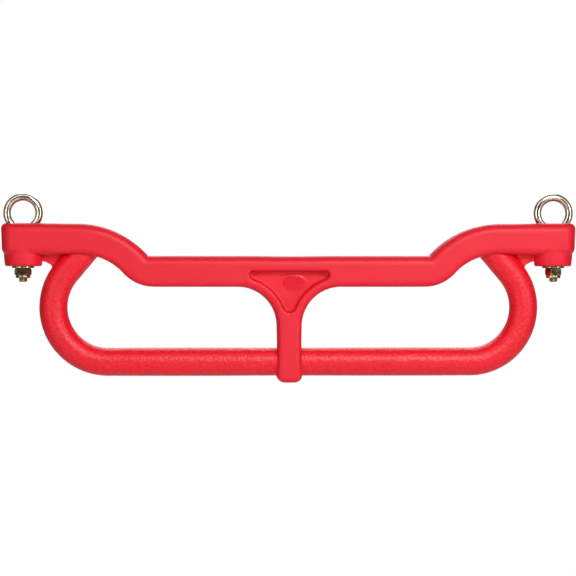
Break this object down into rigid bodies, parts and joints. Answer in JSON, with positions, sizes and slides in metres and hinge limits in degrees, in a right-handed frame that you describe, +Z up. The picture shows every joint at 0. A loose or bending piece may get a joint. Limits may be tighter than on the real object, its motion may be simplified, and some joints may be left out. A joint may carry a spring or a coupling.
{
  "type": "trapeze swing bar",
  "caption": "Rigid trapeze swing bar: moulded crossbeam with a centre post, bent pebble-coated grip tube forming closed hand loops, and eye bolts for hanging.",
  "frame": {"origin": "midway between the centres of the two eyes, which is the line that the part hangs from", "axes": "+X along the bar to the user's right seen from the front, +Y to the back, +Z up when hung"},
  "size_m": [0.6604, 0.045, 0.2174],
  "materials": {
    "moulded_red": "satin moulded polyethylene, rounded edges",
    "pebbled_red": "thick soft grip coat with a pebbled grain",
    "tube_steel": "mild steel tube, drawn",
    "zinc_steel": "zinc plated with a yellow passivate, bright",
    "insert_nylon": "natural nylon",
    "plug_plastic": "black polyethylene plug"
  },
  "bodies": {
    "root": {"crossbeam": "moulded_red", "grip_tube": "tube_steel", "grip_coating": "pebbled_red", "left_gusset_plate": "pebbled_red", "right_gusset_plate": "pebbled_red", "left_tube_plug": "plug_plastic", "right_tube_plug": "plug_plastic", "left_bolt_sleeve": "zinc_steel", "right_bolt_sleeve": "zinc_steel", "left_eye_bolt": "zinc_steel", "right_eye_bolt": "zinc_steel", "left_washer": "zinc_steel", "right_washer": "zinc_steel", "left_lock_nut": "zinc_steel", "right_lock_nut": "zinc_steel", "left_nut_insert": "insert_nylon", "right_nut_insert": "insert_nylon"}
  },
  "joints": []
}
